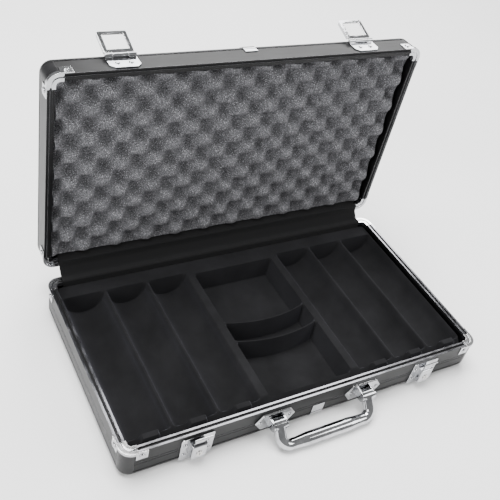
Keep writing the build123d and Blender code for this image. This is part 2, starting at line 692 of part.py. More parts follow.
def hasp_loop(lx):
    """Swinging loop: a windowed plate with side flanges and a middle barrel."""
    tilt = radians(HASP_TILT)
    plane = Plane(origin=(lx, hasp_y, hasp_z), x_dir=(1, 0, 0), z_dir=(0, -sin(tilt), cos(tilt)))
    window_low = HASP_START + HASP_BAR
    window_high = HASP_L - HASP_BAR
    flange_in = HASP_CORNER_R
    with BuildPart() as loop:
        with BuildSketch(plane.offset(-HASP_T / 2)):
            with Locations((0, (HASP_START + HASP_L) / 2)):
                RectangleRounded(HASP_W, HASP_L - HASP_START, HASP_CORNER_R)
            with Locations((0, (HASP_START + HASP_BAR) / 2)):
                Rectangle(HASP_BARREL_W, HASP_START + HASP_BAR)
            with Locations((0, (window_low + window_high) / 2)):
                Rectangle(HASP_W - 2 * HASP_SIDE, window_high - window_low, mode=Mode.SUBTRACT)
        extrude(amount=HASP_T)
        with BuildSketch(plane.offset(-HASP_T / 2 - HASP_FLANGE)):
            for s in (-1, 1):
                with Locations((s * (HASP_W - HASP_T) / 2, (HASP_START + HASP_L) / 2)):
                    Rectangle(HASP_T, HASP_L - HASP_START - 2 * flange_in)
        extrude(amount=HASP_FLANGE)
        with BuildSketch(hasp_section(lx - HASP_BARREL_W / 2)):
            Circle(HASP_KNUCKLE_R)
        extrude(amount=HASP_BARREL_W)
        with BuildSketch(hasp_section(lx - HASP_BARREL_W / 2)):
            Circle(HASP_PIN_R + RUN_FIT)
        extrude(amount=HASP_BARREL_W, mode=Mode.SUBTRACT)
    return loop.part


for lx, name in ((-LATCH_X, "left"), (LATCH_X, "right")):
    save(hasp_plate(lx), f"hasp_plate_{name}")
    save(hasp_loop(lx), f"hasp_loop_{name}")
    with BuildPart() as hasp_pin:
        with BuildSketch(hasp_section(lx - HASP_PLATE_W / 2 - HASP_PIN_END)):
            Circle(HASP_PIN_R)
        extrude(amount=HASP_PLATE_W + 2 * HASP_PIN_END)
    save(hasp_pin.part, f"hasp_pin_{name}")
save(rivets(lid_walls, hasp_rivets, HASP_PLATE_T), "hasp_rivets")

# ---- latch bodies on the base ----
box_in = BOX_W / 2 - BOX_WALL
slide_out = HASP_AXIS_OUT + HASP_T / 2 + SLIDE_AHEAD
hasp_tip_z = BASE_H + RIM_GAP + HASP_AXIS_N - HASP_L
slide_high = hasp_tip_z - CATCH_FREE + SLIDE_TRAVEL
slide_low = LOCK_Z + LOCK_R + 2 * SLIDE_FIT + SLIDE_TRAVEL


def latch_body(lx):
    """Plate with a hollow box; the catch slide comes out of the slot in its top."""
    with BuildPart() as body:
        with BuildSketch(base_front):
            with Locations((lx, (LATCH_LOW + LATCH_HIGH) / 2)):
                RectangleRounded(LATCH_W, LATCH_HIGH - LATCH_LOW, LATCH_CORNER_R)
            for s in (-1, 1):
                for h in LATCH_RIVET_Z:
                    with Locations((lx + s * LATCH_RIVET_X, h)):
                        Circle(RIVET_R + RIVET_FIT, mode=Mode.SUBTRACT)
        extrude(amount=LATCH_T)
        with BuildSketch(base_front):
            with Locations((lx, (BOX_LOW + BOX_HIGH) / 2)):
                Rectangle(BOX_W, BOX_HIGH - BOX_LOW)
        extrude(amount=BOX_OUT)
        fillet(body.faces().sort_by(Axis.Y)[0].edges(), BOX_EDGE_R)
        with BuildSketch(base_front.offset(LATCH_T)):
            with Locations((lx, (BOX_LOW + BOX_HIGH) / 2)):
                Rectangle(2 * box_in, BOX_HIGH - BOX_LOW - 2 * BOX_WALL)
        extrude(amount=BOX_OUT - BOX_WALL - LATCH_T, mode=Mode.SUBTRACT)
        with BuildSketch(base_front.offset(LATCH_T)):
            with Locations((lx, LOCK_Z)):
                Circle(LOCK_R + RUN_FIT)
        extrude(amount=BOX_OUT, mode=Mode.SUBTRACT)
        with BuildSketch(base_front.offset(slide_out - SLIDE_FIT)):
            with Locations((lx, BOX_HIGH)):
                Rectangle(2 * (CATCH_HALF + SLIDE_FIT), 4 * BOX_WALL)
        extrude(amount=SLIDE_T + 2 * SLIDE_FIT, mode=Mode.SUBTRACT)
    return body.part


def latch_slide(lx):
    """Catch plate with a thumb tab to the right and a leg down to the spring."""
    with BuildPart() as slide:
        with BuildSketch(base_front.offset(slide_out)):
            with Locations((lx, (slide_low + slide_high) / 2)):
                Rectangle(2 * CATCH_HALF, slide_high - slide_low)
            with Locations((lx + CATCH_HALF - LEG_W / 2, (LEG_LOW_Z + slide_high) / 2)):
                Rectangle(LEG_W, slide_high - LEG_LOW_Z)
            with Locations((lx + TAB_REACH / 2, slide_high - TAB_H / 2)):
                Rectangle(TAB_REACH, TAB_H)
        extrude(amount=SLIDE_T)
    return slide.part


def lock_cylinder(lx):
    """Round key cylinder with a plain keyway."""
    with BuildPart() as lock:
        with BuildSketch(base_front.offset(LATCH_T + LOCK_GAP)):
            with Locations((lx, LOCK_Z)):
                Circle(LOCK_R)
        extrude(amount=BOX_OUT + LOCK_PROUD - LATCH_T - LOCK_GAP)
        with BuildSketch(base_front.offset(BOX_OUT + LOCK_PROUD - KEYWAY_DEEP)):
            with Locations((lx, LOCK_Z)):
                Rectangle(KEYWAY_W, KEYWAY_L)
        extrude(amount=KEYWAY_DEEP, mode=Mode.SUBTRACT)
    return lock.part


def latch_spring(lx):
    """Small coil spring between the floor of the box and the slide's leg."""
    low = BOX_LOW + BOX_WALL + SPRING_WIRE_R + SPRING_FIT
    high = LEG_LOW_Z - SPRING_WIRE_R - SPRING_FIT
    centre = (lx + CATCH_HALF - LEG_W / 2, -CASE_D / 2 - slide_out - SLIDE_T / 2, low)
    with BuildPart() as spring:
        with BuildLine() as coil:
            Helix(pitch=SPRING_PITCH, height=high - low, radius=SPRING_R, center=centre)
        with BuildSketch(Plane(origin=coil.edge() @ 0, z_dir=coil.edge() % 0)):
            Circle(SPRING_WIRE_R)
        sweep(is_frenet=True)
    return spring.part


for lx, name in ((-LATCH_X, "left"), (LATCH_X, "right")):
    save(latch_body(lx), f"latch_body_{name}")
    save(latch_slide(lx), f"latch_slide_{name}")
    save(lock_cylinder(lx), f"lock_cylinder_{name}")
    save(latch_spring(lx), f"latch_spring_{name}")
save(rivets(base_walls, latch_rivets, LATCH_T), "latch_rivets")

# ---- handle ----
ear_gap = 2 * (HANDLE_LEG_R + EAR_FIT)
handle_out = MOUNT_T + HANDLE_LEG_R + HANDLE_CLEAR
handle_y = -CASE_D / 2 - handle_out
drop = radians(HANDLE_DROP)


def handle_section(x):
    """Plane across the handle's pivots; local x is +Y, local y is +Z."""
    return Plane(origin=(x, handle_y, HANDLE_AXIS_Z), x_dir=(0, 1, 0), z_dir=(1, 0, 0))


def handle_mount(mx):
    """Thick plate with pointed ends and two ears for the pivot pin."""
    half = MOUNT_W / 2
    shoulder = half - MOUNT_POINT
    ear_root = handle_out - MOUNT_T / 2
    with BuildPart() as plate:
        with BuildSketch(base_front):
            with Locations((mx, HANDLE_AXIS_Z)):
                Polygon((-half, 0), (-shoulder, -MOUNT_H / 2), (shoulder, -MOUNT_H / 2), (half, 0),
                        (shoulder, MOUNT_H / 2), (-shoulder, MOUNT_H / 2), align=None)
        extrude(amount=MOUNT_T)
        chamfer(plate.faces().sort_by(Axis.Y)[0].edges(), MOUNT_EDGE)
        with BuildSketch(base_front):
            for s in (-1, 1):
                with Locations((mx + s * MOUNT_RIVET_X, HANDLE_AXIS_Z)):
                    Circle(RIVET_R + RIVET_FIT)
        extrude(amount=MOUNT_T, mode=Mode.SUBTRACT)
        for start in (mx - ear_gap / 2 - EAR_T, mx + ear_gap / 2):
            with BuildSketch(handle_section(start)):
                Circle(EAR_R)
                with Locations((ear_root / 2, 0)):
                    Rectangle(ear_root, 2 * EAR_R)
                Circle(HANDLE_PIN_R, mode=Mode.SUBTRACT)
            extrude(amount=EAR_T)
    return plate.part


for mx, name in ((-MOUNT_X, "left"), (MOUNT_X, "right")):
    save(handle_mount(mx), f"handle_mount_{name}")
    pin_half = ear_gap / 2 + EAR_T + HANDLE_PIN_END
    with BuildPart() as pivot:
        with BuildSketch(handle_section(mx - pin_half)):
            Circle(HANDLE_PIN_R)
        extrude(amount=2 * pin_half)
    save(pivot.part, f"handle_pin_{name}")

with BuildPart() as bail:
    # local x is +X, local y runs from the grip back to the pivots
    bail_plane = Plane(origin=(0, handle_y, HANDLE_AXIS_Z), x_dir=(1, 0, 0), z_dir=(0, -sin(drop), cos(drop)))
    with BuildLine(bail_plane) as bail_path:
        FilletPolyline((-MOUNT_X, 0), (-MOUNT_X, -HANDLE_L), (MOUNT_X, -HANDLE_L), (MOUNT_X, 0),
                       radius=HANDLE_BEND)
    with BuildSketch(Plane(origin=bail_path.wire() @ 0, z_dir=bail_path.wire() % 0)):
        Circle(HANDLE_LEG_R)
    sweep()
    # thicker grip, tapered into the bends
    with BuildSketch(bail_plane):
        with BuildLine():
            Polyline((-GRIP_L / 2, -HANDLE_L), (-GRIP_L / 2, -HANDLE_L - HANDLE_LEG_R),
                     (-GRIP_L / 2 + GRIP_TAPER, -HANDLE_L - GRIP_R),
                     (GRIP_L / 2 - GRIP_TAPER, -HANDLE_L - GRIP_R),
                     (GRIP_L / 2, -HANDLE_L - HANDLE_LEG_R), (GRIP_L / 2, -HANDLE_L), close=True)
        make_face()
    revolve(axis=Axis(bail_plane.from_local_coords((0, -HANDLE_L, 0)), (1, 0, 0)))
    eye = ear_gap - 2 * SIDE_FIT
    for mx in (-MOUNT_X, MOUNT_X):
        with BuildSketch(handle_section(mx - eye / 2)):
            Circle(HANDLE_LEG_R)
        extrude(amount=eye)
    for mx in (-MOUNT_X, MOUNT_X):
        with BuildSketch(handle_section(mx - eye / 2)):
            Circle(HANDLE_PIN_R + RUN_FIT)
        extrude(amount=eye, mode=Mode.SUBTRACT)
save(bail.part, "handle_bail")
save(rivets(base_walls, mount_rivets, MOUNT_T), "handle_mount_rivets")


# ---- seam clips at the middle of each front rail ----
def frame_outside(at, height, grow):
    """Outer form of one half, grown outwards, with the rounded edge round its panel."""
    with BuildPart() as form:
        with BuildSketch(at(-grow)):
            RectangleRounded(CASE_W + 2 * grow, CASE_D + 2 * grow, CORNER_R + grow)
        extrude(amount=height + grow)
        low = form.faces().sort_by(Axis(at(0).origin, at(0).z_dir))[0]
        fillet(low.edges(), EDGE_R + grow)
    return form.part


def seam_clip(at, height, reach, front):
    """Small plate bent over the rounded edge, with a line pressed across it."""
    with BuildPart() as clip:
        add(frame_outside(at, height, CLIP_T))
        add(frame_outside(at, height, 0), mode=Mode.SUBTRACT)
        with BuildSketch(at(CLIP_LOW)):
            with Locations((0, front * CASE_D / 2)):
                Rectangle(CLIP_W, 4 * EDGE_R)
        extrude(amount=reach - CLIP_LOW, mode=Mode.INTERSECT)
        with BuildSketch(at(CLIP_LINE)):
            Rectangle(2 * CASE_W, 2 * CASE_D)
            Rectangle(2 * CASE_W, CASE_D + CLIP_T, mode=Mode.SUBTRACT)
        extrude(amount=CLIP_LINE_W, mode=Mode.SUBTRACT)
    return clip.part


save(seam_clip(base_at, BASE_H, BASE_CLIP_REACH, -1), "base_seam_clip")
save(seam_clip(lid_at, LID_H, LID_CLIP_REACH, 1), "lid_seam_clip")

# ---- fabric lining over the hinge gap ----
with BuildPart() as lining:
    y_base = CASE_D / 2 - RIM_W - LINING_CLEAR
    z_rim = BASE_H + LINING_CLEAR
    y_lid = lid_y - TONGUE_H - LINING_CLEAR + RIM_GAP
    z_lid = lid_z + RIM_W + LINING_CLEAR
    with BuildSketch(Plane.YZ.offset(-CASE_W / 2 + LINING_SIDE)):
        with BuildLine():
            Polyline((y_base, LINING_BASE_LOW_Z), (y_base, z_rim), (CASE_D / 2, z_rim),
                     (y_lid, lid_z), (y_lid, z_lid), (y_lid + LINING_IN_LID, z_lid))
            offset(amount=LINING_T, side=Side.LEFT)
        make_face()
    extrude(amount=CASE_W - 2 * LINING_SIDE)
save(lining.part, "hinge_lining")
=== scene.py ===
# %% [markdown]
# # A case for poker chips
# The case is a shallow box of black anodised rails with bright corner brackets, hasps and a
# bail handle. It arrives here as a frame of solids, where every metal piece already has its
# size and place. What is left for Blender is everything that makes it look real: the formed
# and flocked tray, the egg-crate foam, the cloth behind the hinge, softened metal edges, and
# the finish of each surface.
# %% Load the frame
import json
from math import cos, pi, radians, sin, tanh

import bpy
from mathutils import Matrix, Vector

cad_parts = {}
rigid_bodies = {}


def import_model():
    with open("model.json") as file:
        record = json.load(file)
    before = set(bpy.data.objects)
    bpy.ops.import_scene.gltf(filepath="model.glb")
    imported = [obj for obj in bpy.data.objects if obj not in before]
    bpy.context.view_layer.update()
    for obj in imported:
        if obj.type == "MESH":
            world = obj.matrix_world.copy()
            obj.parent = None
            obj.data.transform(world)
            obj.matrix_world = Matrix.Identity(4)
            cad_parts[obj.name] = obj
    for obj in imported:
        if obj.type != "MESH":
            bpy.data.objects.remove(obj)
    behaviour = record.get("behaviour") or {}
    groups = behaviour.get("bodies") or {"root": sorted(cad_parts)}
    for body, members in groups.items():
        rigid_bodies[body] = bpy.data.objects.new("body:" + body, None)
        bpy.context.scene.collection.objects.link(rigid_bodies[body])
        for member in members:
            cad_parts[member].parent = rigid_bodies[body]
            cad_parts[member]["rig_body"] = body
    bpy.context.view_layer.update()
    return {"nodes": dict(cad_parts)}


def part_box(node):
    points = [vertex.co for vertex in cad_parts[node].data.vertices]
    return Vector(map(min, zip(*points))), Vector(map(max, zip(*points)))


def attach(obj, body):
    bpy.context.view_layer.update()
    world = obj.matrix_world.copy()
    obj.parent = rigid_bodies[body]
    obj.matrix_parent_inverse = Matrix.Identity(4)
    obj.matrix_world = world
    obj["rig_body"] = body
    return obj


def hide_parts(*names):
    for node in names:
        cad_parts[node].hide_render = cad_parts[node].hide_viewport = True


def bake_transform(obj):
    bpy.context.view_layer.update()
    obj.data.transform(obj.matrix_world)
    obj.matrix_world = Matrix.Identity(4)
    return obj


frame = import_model()
MM = 0.001
print("pieces in the frame:", len(frame["nodes"]))

# %% [markdown]
# ## Camera
# The camera goes in first, because every later choice of detail depends on how large a piece
# is in the picture. It stands to the left of the case and above it, and it is rolled a
# little, so its axes are built by hand from azimuth, elevation and roll.
# %% Camera
LENS_MM = 53.7
CLIP_END = 20
CAMERA_PLACE = Vector((-0.3505, -0.4062, 0.5598))
AZIMUTH = radians(-37.16)
ELEVATION = radians(40.09)
ROLL = radians(14.4)


def add_camera():
    """Camera whose back, right and up vectors come from three angles."""
    level = Vector((sin(AZIMUTH), -cos(AZIMUTH), 0))
    back = level * cos(ELEVATION) + Vector((0, 0, sin(ELEVATION)))
    level_right = Vector((cos(AZIMUTH), sin(AZIMUTH), 0))
    level_up = back.cross(level_right)
    right = level_right * cos(ROLL) + level_up * sin(ROLL)
    up = level_up * cos(ROLL) - level_right * sin(ROLL)
    bpy.ops.object.camera_add(location=CAMERA_PLACE)
    camera = bpy.context.object
    turn = Matrix((right, up, back)).transposed().to_4x4()
    camera.matrix_world = Matrix.Translation(CAMERA_PLACE) @ turn
    camera.data.lens = LENS_MM
    camera.data.clip_end = CLIP_END
    return camera


bpy.context.scene.camera = add_camera()
print("camera at", tuple(round(v, 3) for v in CAMERA_PLACE))

# %% [markdown]
# ## Small helpers for materials
# Every finish below is a node tree on Principled BSDF. A few helpers keep the trees short:
# one starts a material, one gives it coordinates, and the others add a noise, a colour ramp,
# a value that a pattern spreads between two limits, and relief.
# %% Material helpers
PATTERN_LOW = 0.3
PATTERN_HIGH = 0.7


def start_material(name, color, roughness, metallic=0.0):
    """New material with its Principled BSDF; returns the material, its tree and the shader."""
    material = bpy.data.materials.new(name)
    material.use_nodes = True
    tree = material.node_tree
    shader = tree.nodes["Principled BSDF"]
    shader.inputs["Base Color"].default_value = (*color, 1)
    shader.inputs["Roughness"].default_value = roughness
    shader.inputs["Metallic"].default_value = metallic
    return material, tree, shader


def place_vector(tree, scale=(1, 1, 1)):
    """Object coordinates, stretched by a Mapping node."""
    coordinates = tree.nodes.new("ShaderNodeTexCoord")
    mapping = tree.nodes.new("ShaderNodeMapping")
    mapping.inputs["Scale"].default_value = scale
    tree.links.new(coordinates.outputs["Object"], mapping.inputs["Vector"])
    return mapping.outputs["Vector"]


def noise(tree, vector, scale, detail=2.0, roughness=0.5):
    """Fine irregular pattern; scale is in repeats a metre."""
    node = tree.nodes.new("ShaderNodeTexNoise")
    node.inputs["Scale"].default_value = scale
    node.inputs["Detail"].default_value = detail
    node.inputs["Roughness"].default_value = roughness
    tree.links.new(vector, node.inputs["Vector"])
    return node.outputs["Fac"]


def ramp(tree, value, stops):
    """Colour ramp through (position, colour) stops."""
    node = tree.nodes.new("ShaderNodeValToRGB")
    elements = node.color_ramp.elements
    while len(elements) < len(stops):
        elements.new(0.5)
    for element, (position, color) in zip(elements, stops):
        element.position = position
        element.color = (*color, 1)
    tree.links.new(value, node.inputs["Fac"])
    return node.outputs["Color"]


def tint(tree, shader, pattern, dark, pale):
    """Base colour that a pattern moves between a dark and a pale one."""
    color = ramp(tree, pattern, [(PATTERN_LOW, dark), (PATTERN_HIGH, pale)])
    tree.links.new(color, shader.inputs["Base Color"])


def spread(tree, value, low, high):
    """Map the middle of a pattern, where nearly all of a noise lies, onto low to high."""
    node = tree.nodes.new("ShaderNodeMapRange")
    node.inputs["From Min"].default_value = PATTERN_LOW
    node.inputs["From Max"].default_value = PATTERN_HIGH
    node.inputs["To Min"].default_value = low
    node.inputs["To Max"].default_value = high
    tree.links.new(value, node.inputs["Value"])
    return node.outputs["Result"]


def bump(tree, shader, height, strength, distance):
    """Relief from a pattern; distance is its real depth in metres."""
    node = tree.nodes.new("ShaderNodeBump")
    node.inputs["Strength"].default_value = strength
    node.inputs["Distance"].default_value = distance
    tree.links.new(height, node.inputs["Height"])
    tree.links.new(node.outputs["Normal"], shader.inputs["Normal"])


def grey(value):
    """Neutral colour with a trace of blue."""
    return (value, value, value * 1.06)


# %% [markdown]
# ## Metal finishes
# The rails are extruded aluminium under a thin black coat. The coat hides the metal, so the
# shader is a black plastic with a soft shine, not a dark metal, which would mirror the floor.
# Long faint die lines run along each rail, made by noise that is stretched along one axis.
# The bright pieces are plated steel: nearly a mirror, with a little unevenness in the plating
# and faint smears from hands.
#
# The rounded edges get a paler metal than the faces, and so does the top of the base's rim:
# a painted highlight, as a choice of look. Real plating is the same all over, and what it
# reflects makes its faces darker than its edges.
# %% Metal finishes
def anodised_rail(name, along):
    """Black anodising with die lines along axis 0, 1 or 2."""
    material, tree, shader = start_material(name, grey(0.008), 0.26)
    stretch = [1.0, 1.0, 1.0]
    stretch[along] = 0.02
    lines = noise(tree, place_vector(tree, stretch), 2600, detail=3)
    cloud = noise(tree, place_vector(tree), 45, detail=4)
    tint(tree, shader, cloud, grey(0.006), grey(0.011))
    tree.links.new(spread(tree, lines, 0.28, 0.4), shader.inputs["Roughness"])
    shader.inputs["Specular IOR Level"].default_value = 0.14
    bump(tree, shader, lines, 0.2, 0.00004)
    return material


def bright_plate():
    """Bright nickel-chrome plate on pressed steel, its colour partly painted shade: darker than
    real plating.
    """
    color = (0.45, 0.455, 0.465)
    material, tree, shader = start_material("bright_plate", color, 0.07, metallic=1.0)
    smear = noise(tree, place_vector(tree, (1, 1, 0.5)), 120, detail=5, roughness=0.6)
    pits = noise(tree, place_vector(tree), 260, detail=2)
    # The smears vary the colour at random; the whole range is kept darker than real plating,
    # painted shade for the darker surroundings the faces reflect.
    tint(tree, shader, smear, (0.36, 0.365, 0.375), (0.56, 0.565, 0.58))
    tree.links.new(spread(tree, smear, 0.03, 0.1), shader.inputs["Roughness"])
    bump(tree, shader, pits, 0.3, 0.0002)
    return material


def satin_nickel():
    """Satin nickel on the key cylinders and springs, duller than the plate."""
    color = (0.62, 0.61, 0.58)
    material, tree, shader = start_material("satin_nickel", color, 0.25, metallic=1.0)
    turning = noise(tree, place_vector(tree), 900, detail=3)
    tint(tree, shader, turning, (0.55, 0.54, 0.52), (0.68, 0.67, 0.65))
    tree.links.new(spread(tree, turning, 0.18, 0.34), shader.inputs["Roughness"])
    return material


def painted_highlight_rail_edge():
    """Grey metal on the rails' rounded edges and the top of the base's rim: a painted highlight.
    """
    material, tree, shader = start_material("painted_highlight_rail_edge", grey(0.25), 0.2, metallic=1.0)
    highlight_mottle = noise(tree, place_vector(tree), 60, detail=3)
    tint(tree, shader, highlight_mottle, grey(0.2), grey(0.3))
    tree.links.new(spread(tree, highlight_mottle, 0.14, 0.28), shader.inputs["Roughness"])
    return material


def painted_highlight_plate_edge():
    """Pale metal on the rounded edges of the pressed plates: a painted highlight."""
    color = (0.85, 0.85, 0.86)
    material, tree, shader = start_material("painted_highlight_plate_edge", color, 0.1, metallic=1.0)
    smear = noise(tree, place_vector(tree), 90, detail=3)
    tint(tree, shader, smear, (0.78, 0.78, 0.79), (0.92, 0.92, 0.93))
    tree.links.new(spread(tree, smear, 0.06, 0.16), shader.inputs["Roughness"])
    return material


rail_x = anodised_rail("anodised_rail_x", 0)
rail_y = anodised_rail("anodised_rail_y", 1)
rail_z = anodised_rail("anodised_rail_z", 2)
plate_finish = bright_plate()
nickel_finish = satin_nickel()
rail_edge = painted_highlight_rail_edge()
plate_edge = painted_highlight_plate_edge()
metals = (rail_x, rail_y, rail_z, plate_finish, nickel_finish, rail_edge, plate_edge)
print("metal finishes:", [metal.name for metal in metals])

# %% [markdown]
# ## Plastic, flock, foam and cloth
# The corner pieces are smooth black plastic. The two big boards have a pebbled laminate. The
# tray is sprayed with flock, which is a carpet of tiny upright fibres: almost black from the
# front, and paler where it is seen along the surface, which sheen gives. The foam is open
# cells of several greys, so it is speckled: a noise gives the greys, and the middles of
# Voronoi cells give the pale flecks.
# %% Soft and plastic finishes
def corner_plastic():
    """Smooth moulded black plastic with slight flow marks."""
    material, tree, shader = start_material("corner_plastic", grey(0.02), 0.22)
    flow = noise(tree, place_vector(tree, (1, 1, 0.4)), 90, detail=4)
    tint(tree, shader, flow, grey(0.008), grey(0.016))
    tree.links.new(spread(tree, flow, 0.2, 0.34), shader.inputs["Roughness"])
    shader.inputs["Specular IOR Level"].default_value = 0.2
    return material


def pebbled_laminate():
    """Black board skin with a fine pebble grain."""
    material, tree, shader = start_material("pebbled_laminate", grey(0.02), 0.5)
    shader.inputs["Specular IOR Level"].default_value = 0.2
    vector = place_vector(tree)
    cells = tree.nodes.new("ShaderNodeTexVoronoi")
    cells.inputs["Scale"].default_value = 950
    tree.links.new(vector, cells.inputs["Vector"])
    cloud = noise(tree, vector, 30, detail=4)
    tint(tree, shader, cloud, grey(0.016), grey(0.021))
    tree.links.new(spread(tree, cells.outputs["Distance"], 0.38, 0.6), shader.inputs["Roughness"])
    bump(tree, shader, cells.outputs["Distance"], 0.5, 0.00012)
    return material


def black_flock():
    """Flocked plastic: matt, faintly mottled, with sheen along the surface."""
    material, tree, shader = start_material("black_flock", grey(0.012), 0.92)
    vector = place_vector(tree)
    fibres = noise(tree, vector, 2600, detail=2)
    strokes = noise(tree, vector, 26, detail=5, roughness=0.62)
    mixed = tree.nodes.new("ShaderNodeMix")
    mixed.data_type = "RGBA"
    mixed.blend_type = "MULTIPLY"
    mixed.inputs["Factor"].default_value = 0.6
    mottle = ramp(tree, strokes, [(PATTERN_LOW, grey(0.005)), (PATTERN_HIGH, grey(0.012))])
    shade = ramp(tree, fibres, [(PATTERN_LOW, grey(0.5)), (PATTERN_HIGH, grey(1.0))])
    tree.links.new(mottle, mixed.inputs["A"])
    tree.links.new(shade, mixed.inputs["B"])
    tree.links.new(mixed.outputs["Result"], shader.inputs["Base Color"])
    shader.inputs["Specular IOR Level"].default_value = 0.15
    shader.inputs["Sheen Weight"].default_value = 0.12
    shader.inputs["Sheen Roughness"].default_value = 0.4
    shader.inputs["Sheen Tint"].default_value = (0.75, 0.75, 0.9, 1)
    bump(tree, shader, fibres, 0.6, 0.0002)
    return material


def speckled_foam():
    """Open-cell charcoal foam, salt and pepper at about a millimetre."""
    material, tree, shader = start_material("speckled_foam", grey(0.14), 0.95)
    vector = place_vector(tree)
    specks = noise(tree, vector, 1500, detail=2, roughness=0.6)
    cells = tree.nodes.new("ShaderNodeTexVoronoi")
    cells.inputs["Scale"].default_value = 700
    tree.links.new(vector, cells.inputs["Vector"])
    salt = ramp(tree, cells.outputs["Distance"], [(0.12, grey(0.5)), (0.26, grey(0.0))])
    mixed = tree.nodes.new("ShaderNodeMix")
    mixed.data_type = "RGBA"
    mixed.blend_type = "ADD"
    mixed.inputs["Factor"].default_value = 1
    pepper = [(0.38, grey(0.025)), (0.5, grey(0.11)), (0.62, grey(0.21))]
    tree.links.new(ramp(tree, specks, pepper), mixed.inputs["A"])
    tree.links.new(salt, mixed.inputs["B"])
    tree.links.new(mixed.outputs["Result"], shader.inputs["Base Color"])
    shader.inputs["Specular IOR Level"].default_value = 0.2
    bump(tree, shader, specks, 0.8, 0.0005)
    return material


def lining_cloth():
    """Plain black weave, two sets of threads crossing."""
    material, tree, shader = start_material("lining_cloth", grey(0.012), 0.85)
    vector = place_vector(tree)
    heights = []
    for direction in ("X", "Z"):
        threads = tree.nodes.new("ShaderNodeTexWave")
        threads.bands_direction = direction
        threads.inputs["Scale"].default_value = 420
        threads.inputs["Distortion"].default_value = 0.6
        tree.links.new(vector, threads.inputs["Vector"])
        heights.append(threads.outputs["Fac"])
    weave = tree.nodes.new("ShaderNodeMath")
    weave.operation = "MAXIMUM"
    tree.links.new(heights[0], weave.inputs[0])
    tree.links.new(heights[1], weave.inputs[1])
    thread_color = ramp(tree, weave.outputs["Value"], [(0.2, grey(0.003)), (0.9, grey(0.008))])
    tree.links.new(thread_color, shader.inputs["Base Color"])
    shader.inputs["Specular IOR Level"].default_value = 0.15
    shader.inputs["Sheen Weight"].default_value = 0.05
    bump(tree, shader, weave.outputs["Value"], 0.5, 0.0002)
    return material


corner_finish = corner_plastic()
board_finish = pebbled_laminate()
flock_finish = black_flock()
foam_finish = speckled_foam()
cloth_finish = lining_cloth()
softs = (corner_finish, board_finish, flock_finish, foam_finish, cloth_finish)
print("soft finishes:", [soft.name for soft in softs])

# %% [markdown]
# ## Editing helpers
# Operators act on whatever is selected, so each step starts by clearing the selection. One
# more helper runs a modifier and applies it. Another turns an open sheet into a closed slab.
# The last moves an object's place into its mesh and gives it its name, finish and body.
# %% Editing helpers
def only(piece):
    """Make piece the only selected and active object."""
    bpy.ops.object.select_all(action="DESELECT")
    piece.select_set(True)
    bpy.context.view_layer.objects.active = piece


def apply_modifier(piece, kind, **settings):
    """Add one modifier, set it and apply it."""
    only(piece)
    modifier = piece.modifiers.new(kind.title(), kind)
    for key, value in settings.items():
        setattr(modifier, key, value)
    bpy.ops.object.modifier_apply(modifier=modifier.name)


def close_back(piece, squash, centre):
    """Draw the border of an open sheet down onto a plane and close it there."""
    only(piece)
    bpy.ops.object.mode_set(mode="EDIT")
    bpy.ops.mesh.select_all(action="DESELECT")
    bpy.ops.mesh.select_mode(type="EDGE")
    bpy.ops.mesh.select_non_manifold()
    bpy.ops.mesh.extrude_region_move()
    bpy.ops.transform.resize(value=squash, center_override=centre)
    bpy.ops.mesh.edge_face_add()
    bpy.ops.mesh.select_all(action="SELECT")
    bpy.ops.mesh.normals_make_consistent(inside=False)
    bpy.ops.object.mode_set(mode="OBJECT")


def settle(piece, name, finish, body):
    """Place in the mesh, name, finish and attach to a body; body is None for a piece that spans
    two bodies and is attached to neither.
    """
    only(piece)
    bpy.ops.object.transform_apply(location=True, rotation=True, scale=True)
    piece.name = name
    piece.data.materials.clear()
    piece.data.materials.append(finish)
    if body:
        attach(piece, body)
    return piece


# %% [markdown]
# ## The formed tray
# A real tray is a warm plastic sheet pulled down over a mould, so its edges are soft and its
# walls lean a little. The same thing works here: a fine grid, the sheet, is projected
# straight down onto the measured tray, the mould, with Shrinkwrap, and a few rounds of
# Smooth soften the edges as the plastic does. Modelling every fillet by hand would take far
# longer and look harder. The grid's rows are first bent to follow the two bowed dividers,
# because an edge that crosses the rows comes out jagged. The rim is then drawn down to make a
# closed shell.
# %% Formed tray
TRAY_CELL = 1.0 * MM
TRAY_CORNER = 4.5 * MM
TRAY_INSET = 0.05 * MM
TRAY_DROP = 5 * MM
TRAY_SMOOTH_ANGLE = radians(50)
WELL_HALF = 45 * MM
WELL_FRONT = -86 * MM
WELL_REAR = 76 * MM
BOW_FRONT = -24 * MM
BOW_REAR = 9 * MM
DIVIDER_BOW = 7 * MM
ROW_SHIFT = 0.25 * MM
tray_low, tray_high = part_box("chip_tray")
tray_span = tray_high - tray_low


def pull_in_corner(point, low, high, radius):
    """Bring a point that lies outside the rounded corners onto the corner's arc."""
    x = min(max(point.x, low.x + radius), high.x - radius)
    y = min(max(point.y, low.y + radius), high.y - radius)
    away = Vector((point.x - x, point.y - y))
    if away.length > radius:
        away = away.normalized() * radius
        point.x = x + away.x
        point.y = y + away.y


def bend_rows(point):
    """Bend the grid's rows along the bowed dividers, fading out towards the wells' far walls."""
    across = min(abs(point.x) / WELL_HALF, 1)
    forward = (BOW_FRONT - point.y) / (BOW_FRONT - WELL_FRONT)
    backward = (point.y - BOW_REAR) / (WELL_REAR - BOW_REAR)
    share = 1 - min(max(forward, backward, 0), 1)
    radius = (WELL_HALF ** 2 + DIVIDER_BOW ** 2) / (2 * DIVIDER_BOW)
    bow = (radius ** 2 - (across * WELL_HALF) ** 2) ** 0.5 - (radius - DIVIDER_BOW)
    point.y -= (bow + ROW_SHIFT) * share


